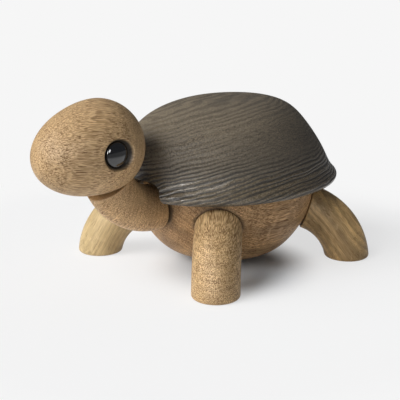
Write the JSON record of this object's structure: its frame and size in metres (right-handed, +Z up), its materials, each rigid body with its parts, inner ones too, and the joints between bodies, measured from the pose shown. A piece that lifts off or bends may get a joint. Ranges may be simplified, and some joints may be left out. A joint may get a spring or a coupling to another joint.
{
  "type": "turtle figurine",
  "caption": "Wooden turtle ornament with a domed dark shell, egg-shaped head with glass eyes, and bent round limbs that turn on dowels.",
  "frame": {"origin": "centre of the footprint, on the surface that the feet stand on", "axes": "-Y is forward, where the head points; +X is the turtle's left; +Z is up"},
  "size_m": [0.1148, 0.1764, 0.0902],
  "materials": {
    "oak": "oiled, satin",
    "stained_ash": "stained and waxed, satin",
    "black_glass": "polished",
    "beech": "plain"
  },
  "bodies": {
    "trunk": {"belly": "oak", "shell": "stained_ash", "shell_dowel_front": "beech", "shell_dowel_rear": "beech"},
    "neck": {"neck": "oak", "neck_dowel": "beech"},
    "head": {"head": "oak", "head_dowel": "beech", "eye_left": "black_glass", "eye_right": "black_glass"},
    "leg_front_left": {"leg_front_left": "oak", "leg_dowel_front_left": "beech"},
    "leg_front_right": {"leg_front_right": "oak", "leg_dowel_front_right": "beech"},
    "leg_rear_left": {"leg_rear_left": "oak", "leg_dowel_rear_left": "beech"},
    "leg_rear_right": {"leg_rear_right": "oak", "leg_dowel_rear_right": "beech"}
  },
  "joints": [
    {"name": "neck_turn", "type": "hinge", "parent": "trunk", "child": "neck", "pos_m": [0, -0.02216, 0.0338], "axis": [0, -0.9978, -0.0663], "range_deg": [-40, 40]},
    {"name": "head_turn", "type": "hinge", "parent": "neck", "child": "head", "pos_m": [0, -0.04962, 0.04981], "axis": [0, -0.5373, 0.8434], "range_deg": [-60, 60]},
    {"name": "leg_front_left_turn", "type": "hinge", "parent": "trunk", "child": "leg_front_left", "pos_m": [0.03078, -0.00808, 0.02646], "axis": [0.6744, -0.6744, -0.3007], "range_deg": [-60, 60]},
    {"name": "leg_front_right_turn", "type": "hinge", "parent": "trunk", "child": "leg_front_right", "pos_m": [-0.03078, -0.00808, 0.02646], "axis": [-0.6744, -0.6744, -0.3007], "range_deg": [-60, 60]},
    {"name": "leg_rear_left_turn", "type": "hinge", "parent": "trunk", "child": "leg_rear_left", "pos_m": [0.03078, 0.05348, 0.02646], "axis": [0.6744, 0.6744, -0.3007], "range_deg": [-60, 60]},
    {"name": "leg_rear_right_turn", "type": "hinge", "parent": "trunk", "child": "leg_rear_right", "pos_m": [-0.03078, 0.05348, 0.02646], "axis": [-0.6744, 0.6744, -0.3007], "range_deg": [-60, 60]}
  ]
}
